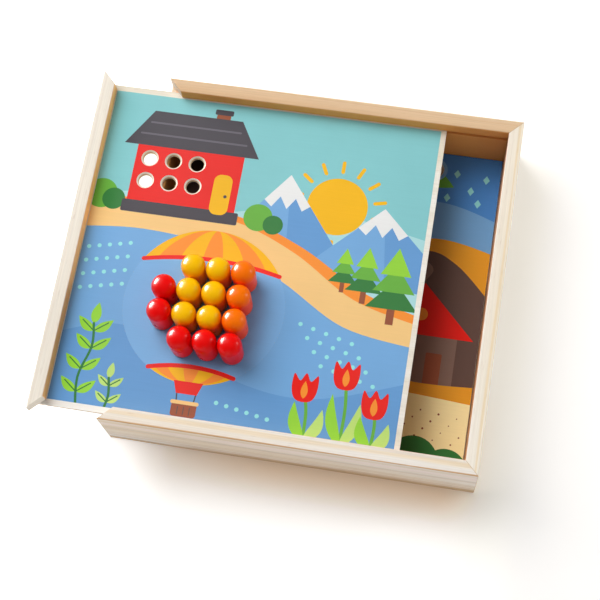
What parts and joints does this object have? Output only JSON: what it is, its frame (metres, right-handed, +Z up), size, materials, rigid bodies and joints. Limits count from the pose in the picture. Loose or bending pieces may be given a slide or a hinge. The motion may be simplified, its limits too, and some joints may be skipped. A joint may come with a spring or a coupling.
{
  "type": "peg art board",
  "caption": "Pine box with a grooved, mitred frame, a sliding picture-board lid drilled for turned ball pegs, and a second picture board stored inside.",
  "frame": {"origin": "middle of the box's underside, on the surface it stands on", "axes": "+X along the front rail towards the fixed end, away from the drawn lid; +Y to the back; +Z up"},
  "size_m": [0.2975, 0.25, 0.0718],
  "materials": {
    "pine": "bare sanded pine",
    "plywood": "bare birch plywood, printed on top",
    "red_lacquer": "gloss lacquer on turned wood",
    "yellow_lacquer": "gloss lacquer on turned wood",
    "orange_lacquer": "gloss lacquer on turned wood"
  },
  "bodies": {
    "box": {"front_rail": "pine", "back_rail": "pine", "right_rail": "pine", "low_left_rail": "pine", "base_panel": "plywood"},
    "lid": {"lid_board": "plywood", "lid_end_rail": "pine"},
    "stored_board": {"stored_board": "plywood"},
    "yellow_peg_1": {"yellow_peg_1": "yellow_lacquer"},
    "yellow_peg_2": {"yellow_peg_2": "yellow_lacquer"},
    "orange_peg_1": {"orange_peg_1": "orange_lacquer"},
    "red_peg_1": {"red_peg_1": "red_lacquer"},
    "yellow_peg_3": {"yellow_peg_3": "yellow_lacquer"},
    "yellow_peg_4": {"yellow_peg_4": "yellow_lacquer"},
    "orange_peg_2": {"orange_peg_2": "orange_lacquer"},
    "red_peg_2": {"red_peg_2": "red_lacquer"},
    "yellow_peg_5": {"yellow_peg_5": "yellow_lacquer"},
    "yellow_peg_6": {"yellow_peg_6": "yellow_lacquer"},
    "orange_peg_3": {"orange_peg_3": "orange_lacquer"},
    "red_peg_3": {"red_peg_3": "red_lacquer"},
    "red_peg_4": {"red_peg_4": "red_lacquer"},
    "red_peg_5": {"red_peg_5": "red_lacquer"}
  },
  "joints": [
    {"name": "lid_slide", "type": "slide", "parent": "box", "child": "lid", "axis": [1, 0, 0], "range_m": [-0.2, 0.0475]},
    {"name": "stored_board_lift", "type": "slide", "parent": "box", "child": "stored_board", "axis": [0, 0, 1], "range_m": [0, 0.03]},
    {"name": "yellow_peg_1_pull", "type": "slide", "parent": "lid", "child": "yellow_peg_1", "axis": [0, 0, 1], "range_m": [0, 0.03]},
    {"name": "yellow_peg_2_pull", "type": "slide", "parent": "lid", "child": "yellow_peg_2", "axis": [0, 0, 1], "range_m": [0, 0.03]},
    {"name": "orange_peg_1_pull", "type": "slide", "parent": "lid", "child": "orange_peg_1", "axis": [0, 0, 1], "range_m": [0, 0.03]},
    {"name": "red_peg_1_pull", "type": "slide", "parent": "lid", "child": "red_peg_1", "axis": [0, 0, 1], "range_m": [0, 0.03]},
    {"name": "yellow_peg_3_pull", "type": "slide", "parent": "lid", "child": "yellow_peg_3", "axis": [0, 0, 1], "range_m": [0, 0.03]},
    {"name": "yellow_peg_4_pull", "type": "slide", "parent": "lid", "child": "yellow_peg_4", "axis": [0, 0, 1], "range_m": [0, 0.03]},
    {"name": "orange_peg_2_pull", "type": "slide", "parent": "lid", "child": "orange_peg_2", "axis": [0, 0, 1], "range_m": [0, 0.03]},
    {"name": "red_peg_2_pull", "type": "slide", "parent": "lid", "child": "red_peg_2", "axis": [0, 0, 1], "range_m": [0, 0.03]},
    {"name": "yellow_peg_5_pull", "type": "slide", "parent": "lid", "child": "yellow_peg_5", "axis": [0, 0, 1], "range_m": [0, 0.03]},
    {"name": "yellow_peg_6_pull", "type": "slide", "parent": "lid", "child": "yellow_peg_6", "axis": [0, 0, 1], "range_m": [0, 0.03]},
    {"name": "orange_peg_3_pull", "type": "slide", "parent": "lid", "child": "orange_peg_3", "axis": [0, 0, 1], "range_m": [0, 0.03]},
    {"name": "red_peg_3_pull", "type": "slide", "parent": "lid", "child": "red_peg_3", "axis": [0, 0, 1], "range_m": [0, 0.03]},
    {"name": "red_peg_4_pull", "type": "slide", "parent": "lid", "child": "red_peg_4", "axis": [0, 0, 1], "range_m": [0, 0.03]},
    {"name": "red_peg_5_pull", "type": "slide", "parent": "lid", "child": "red_peg_5", "axis": [0, 0, 1], "range_m": [0, 0.03]}
  ]
}
